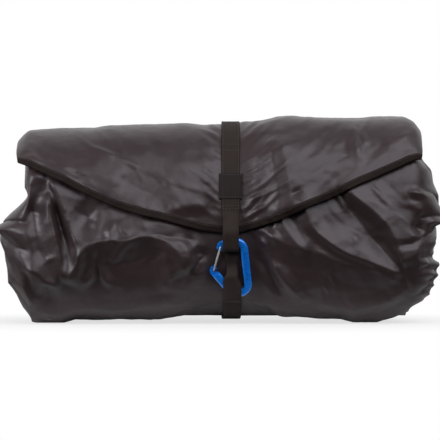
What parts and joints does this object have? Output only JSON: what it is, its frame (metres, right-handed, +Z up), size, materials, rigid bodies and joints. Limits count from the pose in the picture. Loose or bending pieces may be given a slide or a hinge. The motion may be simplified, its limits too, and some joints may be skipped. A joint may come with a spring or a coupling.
{
  "type": "packed camping hammock",
  "caption": "Camping hammock rolled up in its soft pouch, with a pointed flap that is closed by a webbing strap and a wiregate carabiner, and with slings and tree straps inside.",
  "frame": {"origin": "on the surface that the pack rests on, under the middle of its bounding box", "axes": "+X along the roll, to the right as seen from the front; the front faces -Y; +Z up"},
  "size_m": [0.4795, 0.1752, 0.2279],
  "materials": {
    "pack_nylon": "satin ripstop nylon",
    "tape": "matte grosgrain",
    "webbing": "matte flat webbing",
    "label": "bare woven label",
    "blue_anodised": "gloss blue anodised",
    "steel_wire": "bright drawn wire",
    "bed_nylon": "soft ripstop nylon",
    "sling_cord": "braided cord"
  },
  "bodies": {
    "pack": {"pack_panel": "pack_nylon", "left_end": "pack_nylon", "right_end": "pack_nylon", "mouth_hem": "tape", "hinge_tape": "tape", "back_strap": "webbing", "clip_strap": "webbing", "hammock_bed": "bed_nylon", "left_tree_strap": "webbing", "right_tree_strap": "webbing", "left_sling": "sling_cord", "right_sling": "sling_cord", "spare_carabiner_body": "blue_anodised"},
    "flap": {"flap": "pack_nylon", "flap_binding": "tape", "flap_strap": "webbing", "strap_label": "label"},
    "clip_tab": {"clip_tab": "webbing"},
    "carabiner": {"carabiner_body": "blue_anodised"},
    "gate": {"carabiner_gate": "steel_wire"},
    "spare_gate": {"spare_carabiner_gate": "steel_wire"}
  },
  "joints": [
    {"name": "flap_fold", "type": "hinge", "parent": "pack", "child": "flap", "pos_m": [0, 0.08294, 0.17199], "axis": [-1, 0, 0], "range_deg": [0, 115], "deforming": ["clip_strap"]},
    {"name": "tab_fold", "type": "hinge", "parent": "flap", "child": "clip_tab", "pos_m": [0.0115, -0.07624, 0.12187], "axis": [-1, 0, 0], "range_deg": [0, 110]},
    {"name": "carabiner_sway", "type": "hinge", "parent": "clip_tab", "child": "carabiner", "pos_m": [0.0115, -0.08031, 0.08989], "axis": [0, -0.9589, -0.2836], "range_deg": [-7, 2]},
    {"name": "gate_press", "type": "hinge", "parent": "carabiner", "child": "gate", "pos_m": [0.00041, -0.07866, 0.0843], "axis": [0, -0.9589, -0.2836], "range_deg": [0, 24], "stiffness_Nm_per_rad": 0.05, "springref_deg": -11.46},
    {"name": "spare_gate_press", "type": "hinge", "parent": "pack", "child": "spare_gate", "pos_m": [0.02322, 0.00539, 0.08617], "axis": [0, -1, 0], "range_deg": [0, 24], "stiffness_Nm_per_rad": 0.05, "springref_deg": -11.46}
  ]
}
